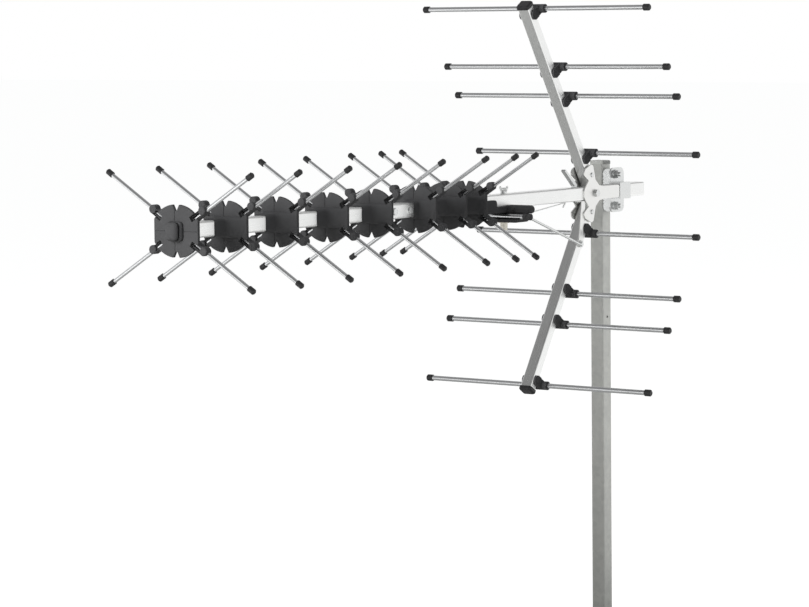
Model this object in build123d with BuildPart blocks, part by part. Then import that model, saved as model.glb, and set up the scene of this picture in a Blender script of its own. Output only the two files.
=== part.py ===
"""Outdoor television antenna: a long boom with eight crossed directors, a dipole in a
moulded housing and a corner reflector of eight long rods, clamped to a square mast.

The frame has its origin at the centre of the mast's lower end. +Z runs up the mast, the
boom lies along X and the antenna points to -X. All lengths are in millimetres."""

import os
from math import atan2, cos, degrees, hypot, radians, sin, tan

from build123d import *

os.makedirs("parts", exist_ok=True)

# Boom: square aluminium tube in two lengths
boom_side = 18.0
boom_wall = 1.2
boom_corner = 2.6
boom_rear_reach = 46.0  # from the mast's axis to the boom's rear end
boom_nose_setback = 10.0  # from the first rod plane forward to the boom's front end
boom_joint_from_hub_6 = 45.0
joint_sleeve_length = 64.0
joint_screw_pitch = 32.0
joint_screw_shank = 4.8
joint_screw_head = 9.4
joint_screw_head_height = 2.2
slip = 0.1  # side clearance of a sliding fit

# Mast: square tube, and where the boom crosses it
mast_side = 20.0
mast_wall = 1.5
mast_corner = 2.2
boom_height = 580.0
mast_above_boom = 34.0
mast_cap_height = 5.0
mast_cap_overhang = 0.6
mast_cap_plug = 9.0
mast_hole_below_boom = 170.0
mast_hole_size = 3.2

# Directors: planes of the rods, counted from the mast's axis to the front
mast_to_dipole = 275.0
dipole_to_last_director = 78.0
director_gaps = (43.5, 63.0, 90.0, 87.0, 95.0, 91.5, 85.0)
director_half_width = 102.0
director_half_height = 63.0
director_rod_size = 4.6
director_rod_start = 13.4  # from the boom's axis to a rod's inner end

# Director hubs: black mouldings on the boom
hub_half_width = 33.0
hub_half_height = 29.5
hub_side_edge = 10.5  # half height of the straight side edges
hub_shoulder = (26.5, 20.5)
hub_shoulder_bulge = (16.5, 27.2)
hub_disc_front = 8.5  # ahead of the rod plane
hub_disc_thickness = 4.5
hub_notch_half_width = 4.6
hub_notch_depth = 6.2
hub_groove = 0.9
hub_collar_side = 21.6
hub_collar_corner = 4.0
hub_collar_front = 36.0  # ahead of the rod plane
hub_6_collar_front = 21.5  # shorter, to clear a screw of the boom joint
hub_nose_front = 20.0
hub_flare_start = 25.0
hub_core_side = 27.0
hub_core_back = 5.0
hub_arm_width = 8.0
hub_arm_reach = 46.5
hub_arm_depth = 9.0
hub_window = (10.0, 2.8)
hub_window_radius = 28.5  # from the boom's axis to a window's middle
hub_window_rim = 1.6
hub_window_sink = 1.2
hub_lug_size = 8.0
hub_lug_offset = 7.0
hub_lug_radius = 42.0
hub_lug_depth = 5.0

# Rod end caps
cap_wall = 1.1
cap_length = 8.5
cap_end = 1.8
cap_chamfer = 1.2

# Corner reflector
reflector_angle = 32.2  # the arms' lean from the vertical
arm_width = 16.0
arm_depth = 13.6
arm_wall = 1.2
arm_corner = 2.0
arm_apex_ahead = 70.5  # from the mast's axis to where the arms' centre lines meet
arm_length = 286.5
arm_foot_clear = 0.4
reflector_rod_reach = (52.0, 141.0, 186.0, 274.0)
reflector_rod_size = 6.4
reflector_rod_half_length = 170.0
arm_cap_thickness = 5.5
arm_cap_overhang = 1.2
arm_cap_plug = 9.0

# Reflector rod holders: saddle clips behind the arms
holder_bridge = 6.3
holder_wall = 2.4
holder_boss_half_length = 17.0
holder_tab_size = 12.6
holder_tab_thickness = 2.4
holder_stud_size = 5.0
holder_stud_behind = 1.6  # from the arm's centre line
holder_fit = 0.08

# Arm bracket: one star plate on each side of the boom
plate_thickness = 1.6
plate_top = (-86.0, 38.0)
plate_shoulder = (-103.5, 29.0)
plate_waist = (-93.0, 17.0)
plate_front = (-104.0, 7.2)
plate_inner = (-76.5, 17.0)
plate_tail = (-57.0, 8.4)
plate_rear = -18.5
plate_tip = 3.2  # half width of the rounded lobes
plate_rivet_height = 24.0
plate_rivet_size = 4.0
plate_rivet_head = 6.6
plate_rivet_head_height = 1.4
plate_bolt_place = -76.0
plate_bolt_size = 6.0
plate_bolt_head = 10.5
plate_bolt_head_height = 3.6

# Mast clamp: saddle round the boom, jaw channel on the mast, two bolts through the mast
clamp_gap = 12.0  # between the boom's side and the mast's face
saddle_sheet = 1.8
saddle_width = 26.0
saddle_centre = -4.0
ear_front = -13.0
ear_rear = 21.0
ear_height = 20.5
ear_corner = 9.0
jaw_sheet = 2.0
jaw_height = 19.5  # beyond the boom's edge
jaw_width = 18.0
jaw_wing_corner = 7.0
jaw_tooth = 1.4
jaw_tooth_pitch = 4.0
clamp_bolt_size = 6.0
clamp_bolt_offset = 21.0
clamp_hole_fit = 0.2
clamp_slot_length = 19.0
clamp_slot_centre = 4.5
clamp_nut_width = 10.0
clamp_nut_height = 5.0
clamp_washer_size = 12.0
clamp_washer_thickness = 1.2
clamp_bolt_free_end = 3.0
clamp_head_height = 4.0

# Driven dipole in its housing under the boom
housing_half_length = 47.0
housing_depth = 15.0
housing_top = -5.0
housing_bottom = -26.0
housing_wall = 1.8
housing_split = -15.5
housing_end_radius = 7.0
housing_recess = 5.0
housing_recess_place = 22.0
housing_ear_depth = 6.0
dipole_tube_size = 6.2
dipole_tube_height = -18.5
dipole_tube_half_length = 40.0
dipole_tube_ahead = 5.0  # from the housing's front face to the tube's axis
dipole_ring_length = 4.0
dipole_ring_size = 9.0
board_thickness = 1.6
board_height = 5.0  # above the lid's floor
connector_size = 9.4
connector_length = 11.0
connector_flange = 14.0
connector_bore = 6.0
dipole_screw_size = 5.0
wing_span = 13.0
wing_height = 9.5
wing_thickness = 2.4
wing_base = 8.6

# Brace from the boom's underside to the lower arm
brace_size = 3.4
brace_front = -258.0
brace_link_place = -103.0
brace_rear = -111.0
brace_rear_drop = 64.5
brace_link_width = 9.0
brace_link_sheet = 1.0
brace_eye = 9.0
brace_eye_thickness = 1.6

# Lock lever on the boom's top at the arms' foot
lever_width = 6.0
lever_sheet = 2.4
lever_place = -112.0
lever_rise = 20.0
lever_run = 26.0
lever_nut = 8.0
lever_nut_height = 3.0

# Places worked out from the sizes above
boom_half = boom_side / 2
boom_y = -(mast_side / 2 + clamp_gap + boom_half)
dipole_x = -mast_to_dipole
director_x = [dipole_x - dipole_to_last_director]
for gap in director_gaps:
    director_x.append(director_x[-1] - gap)
director_x.reverse()
hub_6_x = director_x[5]
boom_joint_x = hub_6_x - boom_joint_from_hub_6
boom_front_x = director_x[0] - boom_nose_setback
rod_angle = degrees(atan2(director_half_height, director_half_width))
director_rod_end = hypot(director_half_width, director_half_height)
rod_angles = (rod_angle, 180 - rod_angle, 180 + rod_angle, -rod_angle)
arm_half_depth = arm_depth / 2
rod_behind_arm = arm_half_depth + holder_bridge + reflector_rod_size / 2
lean = radians(reflector_angle)


def across_boom(x):
    """The plane square to the boom at x: its own x runs along +Y and its y along +Z."""
    return Plane(origin=(x, boom_y, boom_height), x_dir=(0, 1, 0), z_dir=(1, 0, 0))


def beside_boom(y=0.0):
    """The plane of the boom's side, moved by y: its own x runs along +X and its y up."""
    return Plane(origin=(0, boom_y + y, boom_height), x_dir=(1, 0, 0), z_dir=(0, -1, 0))


def below_boom(z, x=0.0):
    """A level plane at a height from the boom's axis, with its centre under it."""
    return Plane(origin=(x, boom_y, boom_height + z), x_dir=(1, 0, 0), z_dir=(0, 0, 1))


def arm_plane(side):
    """The plane square to an arm at the apex: its x runs along +Y and its z up the arm."""
    up = (-sin(lean), 0, side * cos(lean))
    origin = (-arm_apex_ahead, boom_y, boom_height)
    return Plane(origin=origin, x_dir=(0, side, 0), z_dir=up)


def arm_point(side, reach, behind=0.0):
    """A point of an arm: its X, and its height from the boom's axis."""
    x = -arm_apex_ahead - reach * sin(lean) + behind * cos(lean)
    return x, side * (reach * cos(lean) + behind * sin(lean))


def save(piece, name):
    piece.label = name
    export_step(piece, f"parts/{name}.step")


def square_tube(plane, length, side, wall, corner, depth=None):
    """A square or oblong tube with rounded corners, standing on a plane."""
    deep = depth or side
    with BuildPart() as tube:
        with BuildSketch(plane):
            RectangleRounded(side, deep, corner)
            RectangleRounded(side - 2 * wall, deep - 2 * wall, corner - wall / 2, mode=Mode.SUBTRACT)
        extrude(amount=length)
    return tube


# Boom tubes with the holes of the joint screws and of the pieces that they carry
screw_places = (boom_joint_x - joint_screw_pitch / 2, boom_joint_x + joint_screw_pitch / 2)
side_holes = [(x, joint_screw_shank + slip) for x in screw_places]
side_holes.append((plate_bolt_place, plate_bolt_size + slip))
rivet_hole = plate_rivet_size + slip
top_holes = [(dipole_x, dipole_screw_size + slip), (lever_place, rivet_hole)]
bottom_holes = [(dipole_x, dipole_screw_size + slip), (brace_front, rivet_hole),
                (brace_link_place, rivet_hole)]
boom_spans = (("boom_front_tube", boom_front_x, boom_joint_x),
              ("boom_rear_tube", boom_joint_x, boom_rear_reach))
for name, start, end in boom_spans:
    with BuildPart() as boom_tube:
        add(square_tube(across_boom(start), end - start, boom_side, boom_wall, boom_corner).part)
        for place, size in side_holes:
            if start < place < end:
                with BuildSketch(beside_boom()):
                    with Locations((place, 0)):
                        Circle(size / 2)
                extrude(amount=boom_side, both=True, mode=Mode.SUBTRACT)
        for holes, way in ((top_holes, 1), (bottom_holes, -1)):
            for place, size in holes:
                if start < place < end:
                    with BuildSketch(below_boom(0)):
                        with Locations((place, 0)):
                            Circle(size / 2)
                    extrude(amount=way * boom_side, mode=Mode.SUBTRACT)
    save(boom_tube.part, name)

# Inner sleeve that joins the two boom tubes
sleeve_side = boom_side - 2 * boom_wall - 2 * slip
with BuildPart() as boom_joint_sleeve:
    sleeve_start = boom_joint_x - joint_sleeve_length / 2
    add(square_tube(across_boom(sleeve_start), joint_sleeve_length, sleeve_side, boom_wall,
                    boom_corner - boom_wall / 2).part)
    with BuildSketch(beside_boom()):
        with Locations(*[(x, 0) for x in screw_places]):
            Circle((joint_screw_shank + slip) / 2)
    extrude(amount=boom_side, both=True, mode=Mode.SUBTRACT)
save(boom_joint_sleeve.part, "boom_joint_sleeve")

# Two pan-head screws with nuts through the joint
with BuildPart() as boom_joint_screws:
    for place in screw_places:
        with BuildSketch(beside_boom(-boom_half)):
            with Locations((place, 0)):
                Circle(joint_screw_head / 2)
        extrude(amount=joint_screw_head_height, taper=18)
        with BuildSketch(beside_boom(-boom_half)):
            with Locations((place, 0)):
                Circle(joint_screw_shank / 2)
        extrude(amount=-(boom_side + 1.0))
        with BuildSketch(beside_boom(boom_half)):
            with Locations((place, 0)):
                RegularPolygon(joint_screw_head / 2, 6)
        extrude(amount=-joint_screw_head_height)
save(boom_joint_screws.part, "boom_joint_screws")


def hub_outline():
    """Half of a hub's flower outline, from the notch at the top to the one below."""
    with BuildLine() as half:
        top = (hub_notch_half_width, hub_half_height)
        notch = (0, hub_half_height - hub_notch_depth)
        low_top = (top[0], -top[1])
        low_notch = (0, -notch[1])
        side_top = (hub_half_width, hub_side_edge)
        Line(notch, top)
        ThreePointArc(top, hub_shoulder_bulge, hub_shoulder)
        Line(hub_shoulder, side_top)
        Line(side_top, (side_top[0], -side_top[1]))
        Line((side_top[0], -side_top[1]), (hub_shoulder[0], -hub_shoulder[1]))
        ThreePointArc((hub_shoulder[0], -hub_shoulder[1]),
                      (hub_shoulder_bulge[0], -hub_shoulder_bulge[1]), low_top)
        Line(low_top, low_notch)
        Line(low_notch, notch)
    return half


def director_hub(x, reach, front_end):
    """A hub with its rod arms. The front hub closes the boom with a nose, the others have
    an open collar that reaches ahead and flares into the disc."""
    outline = hub_outline()
    flare = min(hub_flare_start, reach - 2.0)
    with BuildPart() as hub:
        with BuildSketch(across_boom(x - hub_disc_front)):
            with BuildLine():
                add(outline.line)
            make_face()
            mirror(about=Plane.YZ)
        extrude(amount=hub_disc_thickness)
        with BuildSketch(across_boom(x - hub_disc_front)):
            with PolarLocations(0, 4, start_angle=0):
                Rectangle(hub_half_width * 2, hub_groove, align=(Align.MIN, Align.CENTER))
            RectangleRounded(hub_collar_side, hub_collar_side, hub_collar_corner, mode=Mode.SUBTRACT)
        extrude(amount=hub_groove / 2, mode=Mode.SUBTRACT)
        if not front_end:
            with BuildSketch(below_boom(-hub_side_edge)):
                for side in (1, -1):
                    with BuildLine():
                        near_collar = (x - flare, side * (hub_collar_side / 2 - 1))
                        at_rim = (x - hub_disc_front, side * (hub_half_width - 1))
                        middle = (x - hub_disc_front - 5.5, side * (hub_collar_side / 2 + 5))
                        ThreePointArc(near_collar, middle, at_rim)
                        Line(at_rim, (at_rim[0] + 1, at_rim[1]))
                        Line((at_rim[0] + 1, at_rim[1]), (at_rim[0] + 1, near_collar[1]))
                        Line((at_rim[0] + 1, near_collar[1]), near_collar)
                    make_face()
            extrude(amount=2 * hub_side_edge)
        with BuildSketch(across_boom(x - reach)):
            RectangleRounded(hub_collar_side, hub_collar_side, hub_collar_corner)
        extrude(amount=reach + hub_core_back)
        front_face = hub.faces().sort_by(Axis.X)[0]
        chamfer(front_face.outer_wire().edges(), 2.4 if front_end else 1.2)
        with BuildSketch(across_boom(x - hub_disc_front + hub_disc_thickness)):
            RectangleRounded(hub_core_side, hub_core_side, hub_collar_corner)
        extrude(amount=hub_disc_front - hub_disc_thickness + hub_core_back)
        arm_front = x - hub_arm_depth / 2
        with BuildSketch(across_boom(arm_front)):
            with Locations(*[Location((0, 0), a) for a in rod_angles]):
                Rectangle(hub_arm_reach, hub_arm_width, align=(Align.MIN, Align.CENTER))
        extrude(amount=hub_arm_depth)
        with BuildSketch(across_boom(x - 1)):
            for a in rod_angles:
                side = 1 if sin(radians(a)) * cos(radians(a)) > 0 else -1
                upward = side if sin(radians(a)) > 0 else -side
                centre = Location((0, 0), a) * Location((hub_lug_radius, upward * hub_lug_offset))
                with Locations(centre):
                    Circle(hub_lug_size / 2)
                with Locations(Location((0, 0), a) * Location((hub_lug_radius, upward * hub_lug_offset / 2))):
                    Rectangle(hub_lug_size / 2, hub_lug_offset)
        extrude(amount=hub_lug_depth)
        with BuildSketch(across_boom(x - hub_disc_front)):
            for a in rod_angles:
                with Locations(Location((0, 0), a) * Location((hub_window_radius, 0))):
                    RectangleRounded(hub_window[0] + 2 * hub_window_rim, hub_window[1] + 2 * hub_window_rim, 1.4)
        extrude(amount=hub_window_sink, mode=Mode.SUBTRACT)
        with BuildSketch(across_boom(x - hub_disc_front)):
            for a in rod_angles:
                with Locations(Location((0, 0), a) * Location((hub_window_radius, 0))):
                    RectangleRounded(hub_window[0], hub_window[1], 1.2)
        extrude(amount=hub_disc_front, mode=Mode.SUBTRACT)
        for a in rod_angles:
            direction = (0, cos(radians(a)), sin(radians(a)))
            start = (x, boom_y + direction[1] * director_rod_start,
                     boom_height + direction[2] * director_rod_start)
            with BuildSketch(Plane(origin=start, z_dir=direction)):
                Circle(director_rod_size / 2 + slip / 2)
            extrude(amount=hub_arm_reach, mode=Mode.SUBTRACT)
        bore_from = boom_front_x if front_end else x - reach
        with BuildSketch(across_boom(bore_from - (0 if front_end else 1))):
            RectangleRounded(boom_side + slip, boom_side + slip, boom_corner)
        extrude(amount=reach + hub_core_back + 20, mode=Mode.SUBTRACT)
    return hub


def rod_group(x):
    """The four rods of one director, from the hub's core out to the cap centres."""
    with BuildPart() as rods:
        for a in rod_angles:
            direction = (0, cos(radians(a)), sin(radians(a)))
            start = (x, boom_y + direction[1] * director_rod_start,
                     boom_height + direction[2] * director_rod_start)
            with BuildSketch(Plane(origin=start, z_dir=direction)):
                Circle(director_rod_size / 2)
            extrude(amount=director_rod_end - director_rod_start)
    return rods


def end_cap(tip, direction, rod_size):
    """A push-on cap: tip is the rod's end and direction points away from the rod."""
    outer = rod_size / 2 + cap_wall
    plane = Plane(origin=tip, z_dir=direction)
    with BuildPart() as cap:
        with BuildSketch(plane.offset(-(cap_length - cap_end))):
            Circle(outer)
        extrude(amount=cap_length)
        chamfer(cap.faces().sort_by(Axis(tip, direction))[-1].edges(), cap_chamfer)
        with BuildSketch(plane.offset(-(cap_length - cap_end))):
            Circle(rod_size / 2 + slip / 2)
        extrude(amount=cap_length - cap_end, mode=Mode.SUBTRACT)
    return cap


director_caps = []
for number, x in enumerate(director_x, start=1):
    reach = {1: hub_nose_front, 6: hub_6_collar_front}.get(number, hub_collar_front)
    hub = director_hub(x, reach, number == 1)
    save(hub.part, f"director_hub_{number}")
    rods = rod_group(x)
    save(rods.part, f"director_rods_{number}")
    for a in rod_angles:
        direction = (0, cos(radians(a)), sin(radians(a)))
        tip = (x, boom_y + direction[1] * director_rod_end, boom_height + direction[2] * director_rod_end)
        director_caps.append(end_cap(tip, direction, director_rod_size).part)
with BuildPart() as director_rod_caps:
    add(director_caps)
save(director_rod_caps.part, "director_rod_caps")

# Reflector arms, their end caps, rods, rod caps and holders
reflector_caps = []
arm_caps = []
for side, half in ((1, "upper"), (-1, "lower")):
    plane = arm_plane(side)
    rivet_place = arm_point(side, plate_rivet_height / cos(lean))
    with BuildPart() as arm:
        add(square_tube(plane, arm_length, arm_width, arm_wall, arm_corner, arm_depth).part)
        with BuildSketch(below_boom(side * (boom_half + arm_foot_clear))):
            Rectangle(400, 100)
        extrude(amount=-side * 2 * boom_side, mode=Mode.SUBTRACT)
        with BuildSketch(beside_boom()):
            with Locations(rivet_place):
                Circle(rivet_hole / 2)
            for reach in reflector_rod_reach:
                with Locations(arm_point(side, reach, holder_stud_behind)):
                    Circle(holder_stud_size / 2 + slip)
        extrude(amount=arm_width, both=True, mode=Mode.SUBTRACT)
        if half == "lower":
            with BuildSketch(beside_boom()):
                with Locations((brace_rear, -brace_rear_drop)):
                    Circle(rivet_hole / 2)
            extrude(amount=arm_width, mode=Mode.SUBTRACT)
    save(arm.part, f"reflector_arm_{half}")

    with BuildPart() as arm_cap:
        with BuildSketch(plane.offset(arm_length)):
            RectangleRounded(arm_width + 2 * arm_cap_overhang, arm_depth + 2 * arm_cap_overhang, 3.4)
        extrude(amount=arm_cap_thickness)
        chamfer(arm_cap.faces().sort_by(Axis((0, 0, 0), plane.z_dir))[-1].edges(), 1.8)
        with BuildSketch(plane.offset(arm_length - arm_cap_plug)):
            RectangleRounded(arm_width - 2 * arm_wall - 2 * slip, arm_depth - 2 * arm_wall - 2 * slip, 1.2)
        extrude(amount=arm_cap_plug)
    arm_caps.append(arm_cap.part)

    holders = []
    for number, reach in enumerate(reflector_rod_reach, start=1):
        order = 5 - number if side == 1 else 4 + number
        rod_x, rod_z = arm_point(side, reach, rod_behind_arm)
        centre = (rod_x, boom_y, boom_height + rod_z)
        middle = Plane(origin=centre, x_dir=(cos(lean), 0, side * sin(lean)), z_dir=(0, 1, 0))
        with BuildPart() as reflector_rod:
            with BuildSketch(middle):
                Circle(reflector_rod_size / 2)
            extrude(amount=reflector_rod_half_length, both=True)
        save(reflector_rod.part, f"reflector_rod_{order}")
        for end in (1, -1):
            tip = (centre[0], centre[1] + end * reflector_rod_half_length, centre[2])
            reflector_caps.append(end_cap(tip, (0, end, 0), reflector_rod_size).part)

        boss = reflector_rod_size / 2 + holder_wall
        side_gap = arm_width / 2 + holder_fit
        back_face = arm_half_depth + holder_fit - rod_behind_arm
        tab = (holder_stud_behind - rod_behind_arm, 0)
        with BuildPart() as holder:
            with BuildSketch(middle):
                Circle(boss)
            extrude(amount=holder_boss_half_length, both=True)
            with BuildSketch(middle):
                with Locations((back_face, 0)):
                    Rectangle(-back_face, 2 * boss, align=(Align.MIN, Align.CENTER))
                with Locations(tab):
                    Circle(holder_tab_size / 2)
                with Locations(tab):
                    Rectangle(back_face - tab[0] + 1.0, holder_tab_size, align=(Align.MIN, Align.CENTER))
            extrude(amount=side_gap + holder_tab_thickness, both=True)
            with BuildSketch(middle):
                with Locations((back_face, 0)):
                    Rectangle(60, 60, align=(Align.MAX, Align.CENTER))
            extrude(amount=side_gap, both=True, mode=Mode.SUBTRACT)
            with BuildSketch(middle):
                Circle(reflector_rod_size / 2 + slip / 2)
            extrude(amount=holder_boss_half_length * 2, both=True, mode=Mode.SUBTRACT)
            for face in (1, -1):
                with BuildSketch(middle.offset(face * (side_gap + 0.5))):
                    with Locations(tab):
                        Circle(holder_stud_size / 2)
                extrude(amount=-face * (arm_wall + 1.5))
        holders.append(holder.part)
    with BuildPart() as holder_set:
        add(holders)
    save(holder_set.part, f"reflector_holders_{half}")
with BuildPart() as reflector_rod_caps:
    add(reflector_caps)
save(reflector_rod_caps.part, "reflector_rod_caps")
with BuildPart() as reflector_arm_caps:
    add(arm_caps)
save(reflector_arm_caps.part, "reflector_arm_caps")


def rivet(plane, place, hold, tail):
    """A rivet whose head stands on a plane: hold is how far its shank goes down from the
    head, and tail is the thickness of the closing head beyond that."""
    with BuildPart() as piece:
        with BuildSketch(plane):
            with Locations(place):
                Circle(plate_rivet_head / 2)
        extrude(amount=plate_rivet_head_height, taper=24)
        with BuildSketch(plane):
            with Locations(place):
                Circle(plate_rivet_size / 2)
        extrude(amount=-(hold + tail / 2))
        with BuildSketch(plane.offset(-hold)):
            with Locations(place):
                Circle(plate_rivet_head / 2)
        extrude(amount=-tail)
    return piece.part


def star_plate():
    """The outline of a star plate as a sketch in the plane of the boom's side."""
    upper = [(plate_front[0], plate_front[1] - 3), (plate_front[0] + 2, plate_front[1]), plate_waist,
             (plate_shoulder[0] - 2, plate_shoulder[1] - 4), (plate_shoulder[0] + 2, plate_shoulder[1] + 3),
             (plate_top[0] - 1, plate_top[1]), (plate_top[0] + 4, plate_top[1] - 2), plate_inner,
             (plate_inner[0] + 9, plate_tail[1] + 1.6), plate_tail, (plate_rear, plate_tail[1])]
    lower = [(x, -z) for x, z in reversed(upper)]
    with BuildSketch() as outline:
        with BuildLine():
            Polyline(*upper, *lower, close=True)
        make_face()
        offset(amount=-plate_tip)
        offset(amount=plate_tip)
    return outline.sketch


# Star plates on the boom's sides
plate_shape = star_plate()
for name, face in (("bracket_plate_near", 1), ("bracket_plate_far", -1)):
    plane = beside_boom(-face * boom_half)
    with BuildPart() as plate:
        with BuildSketch(plane):
            add(plate_shape)
            with Locations((plate_bolt_place, 0)):
                Circle((plate_bolt_size + slip) / 2, mode=Mode.SUBTRACT)
            for side in (1, -1):
                with Locations(arm_point(side, plate_rivet_height / cos(lean))):
                    Circle(rivet_hole / 2, mode=Mode.SUBTRACT)
        extrude(amount=face * plate_thickness)
    save(plate.part, name)

# Rivets of the plates and the bolt with its nut
plates_across = boom_side + 2 * plate_thickness
with BuildPart() as bracket_rivets:
    for side in (1, -1):
        place = arm_point(side, plate_rivet_height / cos(lean))
        add(rivet(beside_boom(-plates_across / 2), place, plates_across, plate_rivet_head_height))
        with BuildSketch(beside_boom()):
            with Locations(place):
                Circle(plate_rivet_head / 2)
        extrude(amount=boom_half, both=True)
        with BuildSketch(beside_boom()):
            with Locations(place):
                Circle(plate_rivet_head / 2)
                Circle(plate_rivet_size / 2, mode=Mode.SUBTRACT)
        extrude(amount=arm_width / 2, both=True, mode=Mode.SUBTRACT)
save(bracket_rivets.part, "bracket_rivets")

with BuildPart() as bracket_bolt:
    with BuildSketch(beside_boom(-plates_across / 2)):
        with Locations((plate_bolt_place, 0)):
            RegularPolygon(plate_bolt_head / 2, 6)
    extrude(amount=plate_bolt_head_height)
    with BuildSketch(beside_boom(-plates_across / 2)):
        with Locations((plate_bolt_place, 0)):
            Circle(plate_bolt_size / 2)
    extrude(amount=-(plates_across + clamp_nut_height + clamp_bolt_free_end))
save(bracket_bolt.part, "bracket_bolt")

with BuildPart() as bracket_nut:
    with BuildSketch(beside_boom(plates_across / 2)):
        with Locations((plate_bolt_place, 0)):
            RegularPolygon(plate_bolt_head / 2, 6)
            Circle((plate_bolt_size + slip) / 2, mode=Mode.SUBTRACT)
    extrude(amount=-clamp_nut_height)
save(bracket_nut.part, "bracket_nut")

# Lock lever on the boom's top in front of the upper arm
with BuildPart() as lock_lever:
    with BuildSketch(below_boom(boom_half)):
        with Locations((lever_place, 0)):
            RegularPolygon(lever_nut / 2, 6)
    extrude(amount=lever_nut_height)
    with BuildSketch(below_boom(boom_half)):
        with Locations((lever_place, 0)):
            Circle(plate_rivet_size / 2)
    extrude(amount=-(boom_wall + 1.0))
    with BuildSketch(beside_boom()):
        foot_z = boom_half + lever_nut_height
        with BuildLine():
            Polyline((lever_place + 3, foot_z - 1), (lever_place - 3, foot_z - 1),
                     (lever_place - lever_run, foot_z + lever_rise - 1),
                     (lever_place - lever_run + 1.5, foot_z + lever_rise + 1),
                     (lever_place + 1, foot_z + lever_sheet - 0.4), (lever_place + 3, foot_z), close=True)
        make_face()
    extrude(amount=lever_width / 2, both=True)
save(lock_lever.part, "lock_lever")

# Brace link: a strap that hangs from the boom's underside onto the lower arm
link_top_y = -boom_half
with BuildPart() as brace_link:
    with BuildSketch(beside_boom(-boom_half)):
        with BuildLine():
            half_link = brace_link_width / 2
            Polyline((brace_link_place - half_link, -boom_half), (brace_link_place + half_link, -boom_half),
                     (brace_rear + half_link, -brace_rear_drop), (brace_rear - half_link, -brace_rear_drop),
                     close=True)
        make_face()
        with Locations((brace_rear, -brace_rear_drop)):
            Circle(half_link)
            Circle(rivet_hole / 2, mode=Mode.SUBTRACT)
    extrude(amount=-brace_link_sheet)
    with BuildSketch(below_boom(-boom_half)):
        with Locations((brace_link_place, -boom_half)):
            Rectangle(brace_link_width, boom_side - 3.0, align=(Align.CENTER, Align.MIN))
        with Locations((brace_link_place, 0)):
            Circle(rivet_hole / 2, mode=Mode.SUBTRACT)
    extrude(amount=-brace_link_sheet)
save(brace_link.part, "brace_link")

# Brace rod with flattened eyes at its ends
brace_start = (brace_front + 2.0, boom_y, boom_height - boom_half - brace_size / 2 - 0.5)
brace_end = (brace_rear - 3.0, boom_y - boom_half - brace_size / 2 - 0.5, boom_height - brace_rear_drop - 0.5)
brace_way = tuple(e - b for b, e in zip(brace_start, brace_end))
brace_length = (brace_way[0] ** 2 + brace_way[1] ** 2 + brace_way[2] ** 2) ** 0.5
eye_planes = ((below_boom(-boom_half), (brace_front, 0), -1),
              (beside_boom(-boom_half), (brace_rear, -brace_rear_drop), 1))
with BuildPart() as brace_rod:
    with BuildSketch(Plane(origin=brace_start, z_dir=brace_way)):
        Circle(brace_size / 2)
    extrude(amount=brace_length)
    for plane, place, way in eye_planes:
        with BuildSketch(plane):
            with Locations(place):
                Circle(brace_eye / 2)
        extrude(amount=way * brace_eye_thickness)
    for plane, place, way in eye_planes:
        with BuildSketch(plane):
            with Locations(place):
                Circle(rivet_hole / 2)
        extrude(amount=way * 3 * brace_size, mode=Mode.SUBTRACT)
        with BuildSketch(plane.offset(way * brace_eye_thickness)):
            with Locations(place):
                Circle(plate_rivet_head / 2 + 0.2)
        extrude(amount=way * 3 * brace_size, mode=Mode.SUBTRACT)
save(brace_rod.part, "brace_rod")

# Rivets of the brace
eye_hold = brace_eye_thickness + boom_wall
brace_rear_hold = brace_eye_thickness + brace_link_sheet + arm_wall
with BuildPart() as brace_rivets:
    underside = below_boom(-boom_half)
    down = Plane(origin=underside.origin, x_dir=(1, 0, 0), z_dir=(0, 0, -1))
    add(rivet(down.offset(brace_eye_thickness), (brace_front, 0), eye_hold, 1.0))
    add(rivet(down.offset(brace_link_sheet), (brace_link_place, 0), brace_link_sheet + boom_wall, 1.0))
    add(rivet(beside_boom(-boom_half - brace_eye_thickness), (brace_rear, -brace_rear_drop),
              brace_rear_hold, 1.0))
save(brace_rivets.part, "brace_rivets")

# Mast and its cap
with BuildPart() as mast_tube:
    foot = Plane.XY
    add(square_tube(foot, boom_height + mast_above_boom, mast_side, mast_wall, mast_corner).part)
    with BuildSketch(Plane.XZ):
        for side in (1, -1):
            with Locations((0, boom_height + side * clamp_bolt_offset)):
                Circle((clamp_bolt_size + clamp_hole_fit) / 2)
    extrude(amount=mast_side, both=True, mode=Mode.SUBTRACT)
    with BuildSketch(Plane.XZ):
        with Locations((0, boom_height - mast_hole_below_boom)):
            Circle(mast_hole_size / 2)
    extrude(amount=mast_side, mode=Mode.SUBTRACT)
save(mast_tube.part, "mast_tube")

mast_top = Plane.XY.offset(boom_height + mast_above_boom)
with BuildPart() as mast_cap:
    with BuildSketch(mast_top):
        RectangleRounded(mast_side + 2 * mast_cap_overhang, mast_side + 2 * mast_cap_overhang, 2.8)
    extrude(amount=mast_cap_height)
    chamfer(mast_cap.faces().sort_by(Axis.Z)[-1].edges(), 1.4)
    with BuildSketch(mast_top):
        plug = mast_side - 2 * mast_wall - 2 * slip
        RectangleRounded(plug, plug, 1.4)
        RectangleRounded(plug - 4, plug - 4, 1.0, mode=Mode.SUBTRACT)
    extrude(amount=-mast_cap_plug)
save(mast_cap.part, "mast_cap")

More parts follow.
